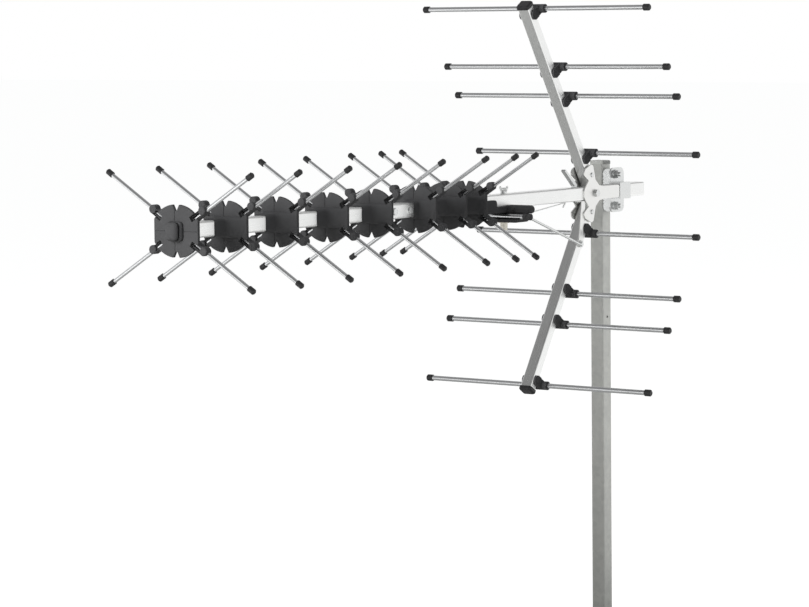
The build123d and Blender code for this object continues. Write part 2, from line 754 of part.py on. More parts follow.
# Clamp saddle: a hat-shaped pressing round the boom with an ear above and below
ear_top = boom_half + ear_height
ear_wide = ear_rear - ear_front
ear_middle = (ear_front + ear_rear) / 2
saddle_height = boom_side + 2 * saddle_sheet
with BuildPart() as clamp_saddle:
    with BuildSketch(across_boom(saddle_centre - saddle_width / 2)):
        with Locations((-boom_half - saddle_sheet, 0)):
            Rectangle(boom_side + saddle_sheet, saddle_height, align=(Align.MIN, Align.CENTER))
        RectangleRounded(boom_side + slip, boom_side + slip, boom_corner, mode=Mode.SUBTRACT)
        with Locations((0, 0)):
            Rectangle(boom_half, boom_side + slip, align=(Align.MIN, Align.CENTER), mode=Mode.SUBTRACT)
    extrude(amount=saddle_width)
    for side in (1, -1):
        with BuildSketch(beside_boom(boom_half)):
            with Locations((ear_middle, side * (boom_half + slip / 2))):
                ear_align = Align.MIN if side == 1 else Align.MAX
                Rectangle(ear_wide, ear_height - ear_corner, align=(Align.CENTER, ear_align))
            with Locations((ear_middle, side * (ear_top - ear_corner))):
                RectangleRounded(ear_wide, 2 * ear_corner, ear_corner - 0.2)
            with Locations((clamp_slot_centre, side * clamp_bolt_offset)):
                SlotOverall(clamp_slot_length, clamp_bolt_size + 2 * clamp_hole_fit, mode=Mode.SUBTRACT)
        extrude(amount=saddle_sheet)
save(clamp_saddle.part, "clamp_saddle")

# Jaw channel between the boom and the mast, with toothed edges on the mast's face
jaw_front_y = boom_y + boom_half
jaw_depth = -mast_side / 2 - jaw_front_y
jaw_reach = boom_half + jaw_height
with BuildPart() as clamp_jaw:
    with BuildSketch(Plane.XY.offset(boom_height - jaw_reach)):
        with Locations((0, jaw_front_y)):
            Rectangle(jaw_width, jaw_depth, align=(Align.CENTER, Align.MIN))
        with Locations((0, jaw_front_y + jaw_sheet)):
            Rectangle(jaw_width - 2 * jaw_sheet, jaw_depth, align=(Align.CENTER, Align.MIN), mode=Mode.SUBTRACT)
    extrude(amount=2 * jaw_reach)
    fillet(clamp_jaw.edges().filter_by(Axis.Z).group_by(Axis.Y)[0], jaw_sheet - 0.4)
    fillet(clamp_jaw.edges().filter_by(Axis.X).group_by(Axis.Y)[-1], jaw_wing_corner)
    with BuildSketch(Plane.YZ.offset(-jaw_width)):
        tooth_places = [boom_height + jaw_tooth_pitch * (k - 4.5) for k in range(10)]
        with Locations(*[(-mast_side / 2, z) for z in tooth_places]):
            Rectangle(jaw_tooth, jaw_tooth, rotation=45, mode=Mode.ADD)
    extrude(amount=2 * jaw_width, mode=Mode.SUBTRACT)
    with BuildSketch(Plane.XZ):
        for side in (1, -1):
            with Locations((0, boom_height + side * clamp_bolt_offset)):
                Circle((clamp_bolt_size + clamp_hole_fit) / 2)
    extrude(amount=-2 * jaw_front_y, both=True, mode=Mode.SUBTRACT)
save(clamp_jaw.part, "clamp_jaw")

# Clamp bolts through the mast, with washers and nuts on the saddle's ears
ear_face_y = boom_y + boom_half - saddle_sheet
nut_face_y = ear_face_y - clamp_washer_thickness
bolt_end_y = nut_face_y - clamp_nut_height - clamp_bolt_free_end
with BuildPart() as clamp_bolts:
    for side in (1, -1):
        with BuildSketch(Plane.XZ.offset(-mast_side / 2)):
            with Locations((0, boom_height + side * clamp_bolt_offset)):
                RegularPolygon(clamp_nut_width / 2 / cos(radians(30)), 6)
        extrude(amount=-clamp_head_height)
        with BuildSketch(Plane.XZ.offset(-mast_side / 2)):
            with Locations((0, boom_height + side * clamp_bolt_offset)):
                Circle(clamp_bolt_size / 2)
        extrude(amount=mast_side / 2 - bolt_end_y)
save(clamp_bolts.part, "clamp_bolts")

with BuildPart() as clamp_washers:
    for side in (1, -1):
        with BuildSketch(Plane.XZ.offset(-ear_face_y)):
            with Locations((0, boom_height + side * clamp_bolt_offset)):
                Circle(clamp_washer_size / 2)
                Circle((clamp_bolt_size + clamp_hole_fit) / 2, mode=Mode.SUBTRACT)
        extrude(amount=clamp_washer_thickness)
save(clamp_washers.part, "clamp_washers")

with BuildPart() as clamp_nuts:
    for side in (1, -1):
        with BuildSketch(Plane.XZ.offset(-nut_face_y)):
            with Locations((0, boom_height + side * clamp_bolt_offset)):
                RegularPolygon(clamp_nut_width / 2 / cos(radians(30)), 6)
                Circle((clamp_bolt_size + slip) / 2, mode=Mode.SUBTRACT)
        extrude(amount=clamp_nut_height)
save(clamp_nuts.part, "clamp_nuts")

# Dipole housing: the body hangs under the boom and the lid closes it from below
housing_span = 2 * housing_half_length
cavity = (housing_depth - 2 * housing_wall, housing_span - 2 * housing_wall)
cavity_radius = housing_end_radius - housing_wall
housing_roof = -boom_half - housing_wall
with BuildPart() as dipole_housing:
    with BuildSketch(below_boom(housing_split, dipole_x)):
        RectangleRounded(housing_depth, housing_span, housing_end_radius)
    extrude(amount=housing_top - housing_split)
    with BuildSketch(below_boom(housing_split, dipole_x)):
        RectangleRounded(cavity[0], cavity[1], cavity_radius)
    extrude(amount=housing_roof - housing_split, mode=Mode.SUBTRACT)
    with BuildSketch(below_boom(-boom_half, dipole_x)):
        Rectangle(housing_depth, boom_side + slip)
    extrude(amount=boom_side, mode=Mode.SUBTRACT)
    with BuildSketch(below_boom(-boom_half, dipole_x)):
        Circle((dipole_screw_size + slip) / 2)
    extrude(amount=-boom_side, mode=Mode.SUBTRACT)
    with BuildSketch(across_boom(dipole_x - housing_depth / 2)):
        with Locations((-housing_recess_place, -12.0), (housing_recess_place, -12.0)):
            Circle(housing_recess / 2)
    extrude(amount=housing_wall - 0.6, mode=Mode.SUBTRACT)
save(dipole_housing.part, "dipole_housing")

tube_x = dipole_x - housing_depth / 2 - dipole_tube_ahead
ring_radius = dipole_ring_size / 2 + 0.3
ring_starts = [side * (dipole_tube_half_length - 8.8) for side in (1, -1)]
with BuildPart() as dipole_lid:
    with BuildSketch(below_boom(housing_split, dipole_x)):
        RectangleRounded(housing_depth, housing_span, housing_end_radius)
    extrude(amount=housing_bottom - housing_split)
    chamfer(dipole_lid.faces().sort_by(Axis.Z)[0].edges(), 1.2)
    with BuildSketch(below_boom(housing_split, dipole_x)):
        RectangleRounded(cavity[0], cavity[1], cavity_radius)
    extrude(amount=housing_bottom + housing_wall - housing_split, mode=Mode.SUBTRACT)
    with BuildSketch(below_boom(housing_bottom, dipole_x)):
        Circle((connector_size + slip) / 2)
    extrude(amount=housing_wall, mode=Mode.SUBTRACT)
    with BuildSketch(below_boom(housing_bottom + housing_wall / 2, dipole_x)):
        with Locations((0, 24), (0, -24)):
            Circle(2.2)
    extrude(amount=housing_wall / 2 + board_height)
    for start in ring_starts:
        way = 1 if start > 0 else -1
        with BuildSketch(beside_boom(start)):
            with Locations((tube_x, dipole_tube_height)):
                Circle(ring_radius)
            with Locations((tube_x, dipole_tube_height)):
                Rectangle(dipole_tube_ahead + 1.0, ring_radius, align=(Align.MIN, Align.MAX))
        extrude(amount=-way * dipole_ring_length)
        with BuildSketch(beside_boom(start)):
            with Locations((tube_x, dipole_tube_height)):
                Circle((dipole_tube_size + slip) / 2)
        extrude(amount=-way * dipole_ring_length, mode=Mode.SUBTRACT)
save(dipole_lid.part, "dipole_lid")

# Dipole tube in front of the housing and its end caps
with BuildPart() as dipole_tube:
    with BuildSketch(Plane(origin=(tube_x, boom_y, boom_height + dipole_tube_height), z_dir=(0, 1, 0))):
        Circle(dipole_tube_size / 2)
        Circle(dipole_tube_size / 2 - 0.8, mode=Mode.SUBTRACT)
    extrude(amount=dipole_tube_half_length, both=True)
save(dipole_tube.part, "dipole_tube")

with BuildPart() as dipole_end_caps:
    for way in (1, -1):
        inner = boom_y + way * (dipole_tube_half_length - 8.8 + dipole_ring_length)
        outer = boom_y + way * housing_half_length
        origin = (tube_x, inner, boom_height + dipole_tube_height)
        cap_plane = Plane(origin=origin, z_dir=(0, way, 0))
        with BuildSketch(cap_plane):
            Circle(dipole_ring_size / 2)
        extrude(amount=abs(outer - inner))
        chamfer(dipole_end_caps.faces().sort_by(Axis((0, 0, 0), (0, way, 0)))[-1].edges(), 1.2)
        with BuildSketch(cap_plane):
            Circle((dipole_tube_size + slip) / 2)
        extrude(amount=8.8 - dipole_ring_length, mode=Mode.SUBTRACT)
save(dipole_end_caps.part, "dipole_end_caps")

# Board inside the housing, resting on the lid's posts
with BuildPart() as circuit_board:
    with BuildSketch(below_boom(housing_bottom + housing_wall + board_height, dipole_x)):
        RectangleRounded(cavity[0] - 2 * slip, cavity[1] - 2 * slip, cavity_radius)
    extrude(amount=board_thickness)
save(circuit_board.part, "circuit_board")

# Threaded connector under the lid
with BuildPart() as coax_connector:
    with BuildSketch(below_boom(housing_bottom + housing_wall + board_height, dipole_x)):
        Circle(connector_size / 2)
    extrude(amount=-(board_height + housing_wall + connector_length))
    with BuildSketch(below_boom(housing_bottom, dipole_x)):
        RegularPolygon(connector_flange / 2, 6)
    extrude(amount=-2.0)
    with BuildSketch(below_boom(housing_bottom - connector_length, dipole_x)):
        Circle(connector_bore / 2)
        Circle(0.6, mode=Mode.SUBTRACT)
    extrude(amount=connector_length - 2.0, mode=Mode.SUBTRACT)
save(coax_connector.part, "coax_connector")

# Screw through the boom and the wing nut on top of it
with BuildPart() as dipole_screw:
    with BuildSketch(below_boom(housing_roof, dipole_x)):
        Circle(dipole_screw_size * 0.9)
    extrude(amount=-2.4)
    with BuildSketch(below_boom(housing_roof, dipole_x)):
        Circle(dipole_screw_size / 2)
    extrude(amount=boom_half - housing_roof + wing_height - 2.0)
save(dipole_screw.part, "dipole_screw")

with BuildPart() as wing_nut:
    with BuildSketch(below_boom(boom_half, dipole_x)):
        Circle(wing_base / 2)
    extrude(amount=4.0, taper=6)
    with BuildSketch(across_boom(dipole_x - wing_thickness / 2)):
        with BuildLine():
            Polyline((-wing_base / 2 + 1, boom_half + 1), (-wing_span / 2, boom_half + wing_height - 2),
                     (-wing_span / 2 + 1.5, boom_half + wing_height), (-2.4, boom_half + 4),
                     (2.4, boom_half + 4), (wing_span / 2 - 1.5, boom_half + wing_height),
                     (wing_span / 2, boom_half + wing_height - 2), (wing_base / 2 - 1, boom_half + 1), close=True)
        make_face()
    extrude(amount=wing_thickness)
    with BuildSketch(below_boom(boom_half, dipole_x)):
        Circle((dipole_screw_size + slip) / 2)
    extrude(amount=wing_height, mode=Mode.SUBTRACT)
save(wing_nut.part, "wing_nut")
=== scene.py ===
import math

import bpy
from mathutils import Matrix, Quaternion, Vector


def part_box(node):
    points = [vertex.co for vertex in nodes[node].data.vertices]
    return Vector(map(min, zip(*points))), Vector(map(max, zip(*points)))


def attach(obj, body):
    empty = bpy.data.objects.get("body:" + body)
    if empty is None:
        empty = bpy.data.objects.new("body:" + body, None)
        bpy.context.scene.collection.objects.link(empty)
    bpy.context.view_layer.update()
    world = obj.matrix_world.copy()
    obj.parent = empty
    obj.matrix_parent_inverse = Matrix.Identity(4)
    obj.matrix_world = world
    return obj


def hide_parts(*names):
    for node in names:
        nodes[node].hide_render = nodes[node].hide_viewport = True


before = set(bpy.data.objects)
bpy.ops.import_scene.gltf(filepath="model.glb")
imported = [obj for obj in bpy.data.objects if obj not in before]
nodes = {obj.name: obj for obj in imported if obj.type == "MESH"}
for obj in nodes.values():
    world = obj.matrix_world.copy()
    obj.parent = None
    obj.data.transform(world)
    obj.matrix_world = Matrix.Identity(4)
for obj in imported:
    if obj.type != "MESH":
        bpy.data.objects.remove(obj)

mm = 0.001


def note(stage):
    print("stage:", stage)


def deselectAll():
    for thing in bpy.context.selected_objects:
        thing.select_set(False)
    bpy.context.view_layer.objects.active = None


deselectAll()
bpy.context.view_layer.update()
note("frame loaded, %d nodes" % len(nodes))


# Colours and nodes
def linear(hexColour):
    channels = []
    for place in (1, 3, 5):
        value = int(hexColour[place:place + 2], 16) / 255
        channels.append(value / 12.92 if value <= 0.04045 else ((value + 0.055) / 1.055) ** 2.4)
    return (*channels, 1.0)


def addNode(tree, kind, settings=None, inputs=None):
    # inputs holds plain values, or another node's output to link
    made = tree.nodes.new(kind)
    for name, value in (settings or {}).items():
        setattr(made, name, value)
    for name, value in (inputs or {}).items():
        if isinstance(value, bpy.types.NodeSocket):
            tree.links.new(value, made.inputs[name])
        else:
            made.inputs[name].default_value = value
    return made


def twoTones(look):
    return {6: linear(look["colour"]), 7: linear(look["paleColour"])}  # the Mix node's two colours


def newMaterial(name, values):
    material = bpy.data.materials.new(name)
    material.use_nodes = True
    tree = material.node_tree
    shader = tree.nodes["Principled BSDF"]
    for socket, value in values.items():
        shader.inputs[socket].default_value = value
    return material, tree, shader


# Drawn aluminium tube: the die leaves fine lines along the tube, so light smears across them
drawnTube = {
    "colour": "#ecedec",
    "paleColour": "#f5f5f4",
    "roughness": 0.3,
    "linesPerMm": 1.1,  # drawn coarser than real so that they show
    "stretch": 0.02,  # how much longer than wide a line is, turned over
    "lineDepth": 0.012 * mm,
    "clouds": 45.5 * mm,
}


def linesAlong(tree, direction, stretch):
    spot = addNode(tree, "ShaderNodeTexCoord")
    alongX = Vector((1, 0, 0)).rotation_difference(Vector(direction).normalized()).inverted()
    turned = addNode(tree, "ShaderNodeMapping", {"vector_type": "POINT"},
                     {"Vector": spot.outputs["Object"], "Rotation": alongX.to_euler()})
    drawn = addNode(tree, "ShaderNodeMapping", {},
                    {"Vector": turned.outputs["Vector"], "Scale": (stretch, 1, 1)})
    return drawn.outputs["Vector"]


crossedRodMiddle = 70 * mm  # distance from the boom at which the lines keep their spacing


def linesOutwards(tree, centre, stretch):
    # the crossed rods point away from the boom, so their lines run with the distance from it
    spot = addNode(tree, "ShaderNodeTexCoord")
    fromBoom = addNode(tree, "ShaderNodeMapping", {},
                       {"Vector": spot.outputs["Object"], "Location": (0, -centre[1], -centre[2])})
    parts = addNode(tree, "ShaderNodeSeparateXYZ", {}, {"Vector": fromBoom.outputs["Vector"]})
    angle = addNode(tree, "ShaderNodeMath", {"operation": "ARCTAN2"},
                    {0: parts.outputs["Z"], 1: parts.outputs["Y"]})
    across = addNode(tree, "ShaderNodeMath", {"operation": "MULTIPLY"},
                     {0: angle.outputs["Value"], 1: crossedRodMiddle})
    flat = addNode(tree, "ShaderNodeCombineXYZ", {}, {"Y": parts.outputs["Y"], "Z": parts.outputs["Z"]})
    span = addNode(tree, "ShaderNodeVectorMath", {"operation": "LENGTH"}, {0: flat.outputs["Vector"]})
    away = addNode(tree, "ShaderNodeMath", {"operation": "MULTIPLY"}, {0: span.outputs["Value"], 1: stretch})
    drawn = addNode(tree, "ShaderNodeCombineXYZ", {},
                    {"X": away.outputs["Value"], "Y": across.outputs["Value"], "Z": parts.outputs["X"]})
    return drawn.outputs["Vector"]


def drawnAluminium(name, look, runLines, course):
    material, tree, shader = newMaterial(name, {"Metallic": 1.0, "Roughness": look["roughness"]})
    spot = addNode(tree, "ShaderNodeTexCoord")
    lines = addNode(tree, "ShaderNodeTexNoise", {},
                    {"Vector": runLines(tree, course, look["stretch"]), "Scale": look["linesPerMm"] / mm,
                     "Detail": 3.0, "Roughness": 0.6})
    clouds = addNode(tree, "ShaderNodeTexNoise", {},
                     {"Vector": spot.outputs["Object"], "Scale": 1.0 / look["clouds"], "Detail": 2.0})
    blend = addNode(tree, "ShaderNodeMix", {"data_type": "RGBA"},
                    {"Factor": clouds.outputs["Fac"], **twoTones(look)})
    tree.links.new(blend.outputs[2], shader.inputs["Base Color"])
    sheen = addNode(tree, "ShaderNodeMapRange", {},
                    {"Value": lines.outputs["Fac"], "From Min": 0.3, "From Max": 0.7,
                     "To Min": look["roughness"] - 0.06, "To Max": look["roughness"] + 0.08})
    tree.links.new(sheen.outputs["Result"], shader.inputs["Roughness"])
    relief = addNode(tree, "ShaderNodeBump", {},
                     {"Height": lines.outputs["Fac"], "Strength": 0.35, "Distance": look["lineDepth"]})
    tree.links.new(relief.outputs["Normal"], shader.inputs["Normal"])
    return material


# Bright drawn rod: harder and smoother than the tubes, with a clear streak of light
brightRod = {
    "colour": "#dcdddf",
    "paleColour": "#e6e7e8",
    "roughness": 0.22,
    "linesPerMm": 1.6,
    "stretch": 0.015,
    "lineDepth": 0.001 * mm,
    "clouds": 45.5 * mm,
}

# Galvanised mast tube: a dull zinc skin with a faint spangle
galvanised = {
    "colour": "#b3b4b1",
    "paleColour": "#c3c4c0",
    "roughness": 0.5,
    "spangle": 5.0 * mm,
    "streaks": 16.7 * mm,
}


def galvanisedSteel(name, look):
    material, tree, shader = newMaterial(name, {"Metallic": 1.0, "Roughness": look["roughness"]})
    spot = addNode(tree, "ShaderNodeTexCoord")
    crystals = addNode(tree, "ShaderNodeTexVoronoi", {"feature": "F1"},
                       {"Vector": spot.outputs["Object"], "Scale": 1.0 / look["spangle"]})
    streaks = addNode(tree, "ShaderNodeTexNoise", {},
                      {"Vector": spot.outputs["Object"], "Scale": 1.0 / look["streaks"], "Detail": 4.0})
    mixed = addNode(tree, "ShaderNodeMath", {"operation": "MULTIPLY_ADD"},
                    {0: crystals.outputs["Color"], 1: 0.45, 2: streaks.outputs["Fac"]})
    tone = addNode(tree, "ShaderNodeMapRange", {},
                   {"Value": mixed.outputs["Value"], "From Min": 0.3, "From Max": 1.1})
    blend = addNode(tree, "ShaderNodeMix", {"data_type": "RGBA"},
                    {"Factor": tone.outputs["Result"], **twoTones(look)})
    tree.links.new(blend.outputs[2], shader.inputs["Base Color"])
    return material


# Moulded ABS: the spark-eroded grain of the tool leaves it a dull dark grey with no highlight
mouldedAbs = {
    "colour": "#4a4a4b",
    "paleColour": "#585859",
    "roughness": 0.65,
    "sheen": 0.06,
    "grain": 0.7 * mm,
    "grainDepth": 0.03 * mm,
    "flow": 22.2 * mm,
    "edge": 0.7 * mm,
}

# Polyethylene caps: soft and smooth, so blacker than the hubs with a small waxy light
capPolyethylene = {
    "colour": "#202021",
    "paleColour": "#2b2b2c",
    "roughness": 0.45,
    "sheen": 0.4,
    "grain": 0.5 * mm,
    "grainDepth": 0.02 * mm,
    "flow": 22.2 * mm,
    "edge": 0.5 * mm,
}

# The mast's plug is the same plastic without the black, so it is nearly as pale as the mast
greyPolyethylene = {
    "colour": "#b4b5b1",
    "paleColour": "#c2c3bf",
    "roughness": 0.5,
    "sheen": 0.4,
    "grain": 0.5 * mm,
    "grainDepth": 0.02 * mm,
    "flow": 22.2 * mm,
    "edge": 0.5 * mm,
}


def mouldedPlastic(name, look):
    material, tree, shader = newMaterial(name, {"Metallic": 0.0, "Roughness": look["roughness"], "IOR": 1.53,
                                                "Specular IOR Level": look["sheen"]})
    spot = addNode(tree, "ShaderNodeTexCoord")
    grain = addNode(tree, "ShaderNodeTexNoise", {},
                    {"Vector": spot.outputs["Object"], "Scale": 1.0 / look["grain"], "Detail": 2.0})
    flow = addNode(tree, "ShaderNodeTexNoise", {},
                   {"Vector": spot.outputs["Object"], "Scale": 1.0 / look["flow"], "Detail": 3.0})
    blend = addNode(tree, "ShaderNodeMix", {"data_type": "RGBA"},
                    {"Factor": flow.outputs["Fac"], **twoTones(look)})
    tree.links.new(blend.outputs[2], shader.inputs["Base Color"])
    edge = addNode(tree, "ShaderNodeBevel", {"samples": 6}, {"Radius": look["edge"]})  # round from the mould
    relief = addNode(tree, "ShaderNodeBump", {},
                     {"Height": grain.outputs["Fac"], "Strength": 0.35, "Distance": look["grainDepth"],
                      "Normal": edge.outputs["Normal"]})
    tree.links.new(relief.outputs["Normal"], shader.inputs["Normal"])
    return material


# Zinc-plated steel: a cold bright plating with light patches from the bath
zincPlate = {
    "colour": "#d6d8d8",
    "paleColour": "#e6e7e6",
    "roughness": 0.28,
    "patch": 6 * mm,
    "edge": 0.4 * mm,
}

# Pressed aluminium sheet: brighter than the tubes, since rolling leaves it smooth
pressedSheet = {
    "colour": "#e6e6e4",
    "paleColour": "#f0f0ee",
    "roughness": 0.32,
    "patch": 18 * mm,
    "edge": 0.4 * mm,
}

# Nickel plate on brass: warm and bright, as on any threaded connector
nickelPlate = {
    "colour": "#bdb9ae",
    "paleColour": "#cfcbc0",
    "roughness": 0.25,
    "patch": 5 * mm,
    "edge": 0.4 * mm,
}


def platedMetal(name, look):
    material, tree, shader = newMaterial(name, {"Metallic": 1.0, "Roughness": look["roughness"]})
    spot = addNode(tree, "ShaderNodeTexCoord")
    patches = addNode(tree, "ShaderNodeTexNoise", {},
                      {"Vector": spot.outputs["Object"], "Scale": 1.0 / look["patch"], "Detail": 3.0})
    blend = addNode(tree, "ShaderNodeMix", {"data_type": "RGBA"},
                    {"Factor": patches.outputs["Fac"], **twoTones(look)})
    tree.links.new(blend.outputs[2], shader.inputs["Base Color"])
    gloss = addNode(tree, "ShaderNodeMapRange", {},
                    {"Value": patches.outputs["Fac"], "From Min": 0.35, "From Max": 0.65,
                     "To Min": look["roughness"] - 0.05, "To Max": look["roughness"] + 0.07})
    tree.links.new(gloss.outputs["Result"], shader.inputs["Roughness"])
    edge = addNode(tree, "ShaderNodeBevel", {"samples": 6}, {"Radius": look["edge"]})  # as tumbling leaves it
    tree.links.new(edge.outputs["Normal"], shader.inputs["Normal"])
    return material


# Glass-fibre laminate: green lacquer over a woven cloth, which shows as a fine check
laminate = {"colour": "#1f5a35", "paleColour": "#2c6e44", "roughness": 0.35, "weave": 0.8 * mm}


def glassFibreLaminate(name, look):
    material, tree, shader = newMaterial(name, {"Roughness": look["roughness"], "IOR": 1.5})
    spot = addNode(tree, "ShaderNodeTexCoord")
    cloth = addNode(tree, "ShaderNodeTexChecker", {},
                    {"Vector": spot.outputs["Object"], "Scale": 1.0 / look["weave"],
                     "Color1": linear(look["colour"]), "Color2": linear(look["paleColour"])})
    tree.links.new(cloth.outputs["Color"], shader.inputs["Base Color"])
    return material


def lowHigh(name):
    low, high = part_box(name)
    return Vector(low), Vector(high)


def dress(material, *names):
    for name in names:
        thing = nodes[name]
        thing.data.materials.clear()
        thing.data.materials.append(material)


# An arm's square end takes this much of the arm's box, in widths of the arm
armEnd = {"ahead": 0.85, "up": 0.27}


def armDirection(name):
    # from the foot of an arm to its tip, read off the node's box
    low, high = lowHigh(name)
    up = 1 if "upper" in name else -1
    width = high.y - low.y
    return Vector((low.x - high.x + width * armEnd["ahead"], 0, up * (high.z - low.z - width * armEnd["up"])))


hubs = sorted(name for name in nodes if name.startswith("director_hub"))
directorRods = sorted(name for name in nodes if name.startswith("director_rods"))
reflectorRods = sorted(name for name in nodes if name.startswith("reflector_rod_") and name[-1].isdigit())
boomLow, boomHigh = lowHigh("boom_front_tube")
boomCentre = (boomLow + boomHigh) / 2

blackAbs = mouldedPlastic("moulded ABS", mouldedAbs)
blackCap = mouldedPlastic("polyethylene", capPolyethylene)
zincPlated = platedMetal("zinc-plated steel", zincPlate)
greenLaminate = glassFibreLaminate("glass-fibre laminate", laminate)

dress(drawnAluminium("anodised aluminium boom", drawnTube, linesAlong, (1, 0, 0)),
      "boom_front_tube", "boom_rear_tube", "boom_joint_sleeve")
for arm in ("reflector_arm_upper", "reflector_arm_lower"):
    dress(drawnAluminium("anodised aluminium " + arm, drawnTube, linesAlong, armDirection(arm)), arm)
dress(drawnAluminium("bright drawn rod", brightRod, linesAlong, (0, 1, 0)), *reflectorRods, "dipole_tube")
dress(drawnAluminium("bright drawn crossed rod", brightRod, linesOutwards, boomCentre), *directorRods)
dress(galvanisedSteel("galvanised steel tube", galvanised), "mast_tube")
dress(blackAbs, *hubs, "reflector_holders_upper", "reflector_holders_lower", "dipole_housing", "dipole_lid")
dress(blackCap, "director_rod_caps", "reflector_rod_caps", "reflector_arm_caps", "dipole_end_caps")
dress(mouldedPlastic("grey polyethylene", greyPolyethylene), "mast_cap")
dress(platedMetal("pressed aluminium sheet", pressedSheet),
      "bracket_plate_near", "bracket_plate_far", "brace_link")
dress(zincPlated, "boom_joint_screws", "brace_rivets", "brace_rod", "bracket_bolt", "bracket_nut",
      "bracket_rivets", "clamp_bolts", "clamp_jaw", "clamp_nuts", "clamp_saddle", "clamp_washers",
      "dipole_screw", "lock_lever", "wing_nut")
dress(platedMetal("nickel plate", nickelPlate), "coax_connector")
dress(greenLaminate, "circuit_board")
note("materials")


# Steps of the bench, all in mm
def selectOnly(thing):
    deselectAll()
    thing.select_set(True)
    bpy.context.view_layer.objects.active = thing


def block(low, high, corner=0.0, segments=3, along=None):
    # a box between two corners, with the edges along one axis or all of them rounded
    low, high = Vector(low) * mm, Vector(high) * mm
    deselectAll()
    bpy.ops.mesh.primitive_cube_add(size=1, location=(low + high) / 2)
    made = bpy.context.active_object
    made.scale = high - low
    bpy.ops.object.transform_apply(location=True, rotation=True, scale=True)
    if corner:
        roundEdges(made, corner, segments, along)
    return made


def roundEdges(thing, radius, segments, along):
    selectOnly(thing)
    bpy.ops.object.mode_set(mode="EDIT")
    bpy.ops.mesh.select_all(action="DESELECT")
    bpy.ops.object.mode_set(mode="OBJECT")
    for edge in thing.data.edges:
        first, second = (thing.data.vertices[v].co for v in edge.vertices)
        way = (second - first).normalized()
        edge.select = along is None or abs(way[along]) > 0.99
    bpy.ops.object.mode_set(mode="EDIT")
    bpy.ops.mesh.select_mode(type="EDGE")
    bpy.ops.mesh.bevel(offset=radius * mm, segments=segments, affect="EDGES")
    bpy.ops.object.mode_set(mode="OBJECT")


def roundBar(axis, place, radius, start, end, sides=32):
    # a round piece along X (0) or Y (1), from start to end
    middle = Vector(place)
    middle[axis] = (start + end) / 2
    deselectAll()
    bpy.ops.mesh.primitive_cylinder_add(vertices=sides, radius=radius * mm, depth=(end - start) * mm,
                                        location=middle * mm,
                                        rotation=(0, math.pi / 2, 0) if axis == 0 else (math.pi / 2, 0, 0))
    made = bpy.context.active_object
    bpy.ops.object.transform_apply(location=True, rotation=True, scale=True)
    return made


def softRim(thing, width):
    # breaks every sharp edge, as a mould does
    rim = thing.modifiers.new("rim", "BEVEL")
    rim.width = width * mm
    rim.segments = 3
    rim.limit_method = "ANGLE"
    rim.angle_limit = math.radians(50)
    selectOnly(thing)
    bpy.ops.object.modifier_apply(modifier="rim")


def combine(body, tool, operation):
    selectOnly(body)
    step = body.modifiers.new(operation, "BOOLEAN")
    step.operation = operation
    step.object = tool
    step.solver = "EXACT"
    bpy.ops.object.modifier_apply(modifier=step.name)
    bpy.data.objects.remove(tool)


def turnAboutBoom(thing, degrees):
    thing.rotation_euler = (math.radians(degrees), 0, 0)
    selectOnly(thing)
    bpy.ops.object.transform_apply(location=False, rotation=True, scale=False)


def finishPiece(thing, name):
    # doubles merged, faces outwards, smooth where the edge is soft
    thing.name = name
    thing.data.name = name
    selectOnly(thing)
    bpy.ops.object.mode_set(mode="EDIT")
    bpy.ops.mesh.select_all(action="SELECT")
    bpy.ops.mesh.remove_doubles(threshold=0.002 * mm)
    bpy.ops.mesh.normals_make_consistent(inside=False)
    bpy.ops.object.mode_set(mode="OBJECT")
    bpy.ops.object.shade_smooth_by_angle(angle=math.radians(32))
    deselectAll()


def settle(thing, place, material, slot, *replaced):
    # puts a finished piece at its place, gives it its material, hides the parts it stands for and hangs it
    # under the root
    thing.location = place
    selectOnly(thing)
    bpy.ops.object.transform_apply(location=True, rotation=False, scale=False)
    thing.data.materials.clear()
    thing.data.materials.append(material)
    if replaced:
        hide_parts(*replaced)
    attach(thing, "root")
    deselectAll()


past = 1.0  # a cutting tool runs on this far outside what it cuts

# Director hub, from the crossing of the boom's axis and the rods' plane, -X ahead
hubLook = {
    "discRadius": 34.5,
    "discSquash": 0.856,
    "discHalfWidth": 31.2,
    "discFront": -7.0,
    "discBack": -3.0,
    "discRim": 0.6,
    "notchRim": 9.6,
    "notchFloor": 2.4,
    "notchDepth": 7.0,
    "seam": 0.8,
    "seamDepth": 0.5,
    "seamAside": 1.5,
    "collarSide": 21.6,
    "collarCorner": 5.0,
    "lipSide": 19.4,
    "lipLength": 5.0,
    "flareStart": -22.0,
    "flareSteps": 6,
    "flareRise": 2.4,
    "flareHeight": 24.4,
    "flareSink": 0.5,
    "ringFront": -12.0,
    "ringBack": -3.6,
    "ringCorner": 4.5,
    "noseFront": -18.0,
    "noseBack": -8.5,
    "noseWidth": 17.5,
    "noseHeight": 20.6,
    "noseRound": 5.3,
    "coreSide": 27.0,
    "coreFront": -4.0,
    "coreBack": 5.0,
    "coreCorner": 3.0,
    "armStart": 6.0,
    "armReach": 44.0,
    "armWidth": 8.0,
    "armHalfDepth": 4.5,
    "armEdge": 0.7,
    "pocket": (24.8, 40.0),
    "pocketFloor": -2.5,
    "pocketEdge": 0.8,
    "slot": (25.5, 37.5),
    "slotWidth": 4.4,
    "slotEdge": 1.2,
    "bossPlace": (42.0, 1.0),
    "bossRadius": 5.0,
    "bossFront": -5.2,
    "bossEdge": 1.2,
    "bore": 18.2,
    "boreCorner": 2.0,
    "boreStop": -6.3,
}


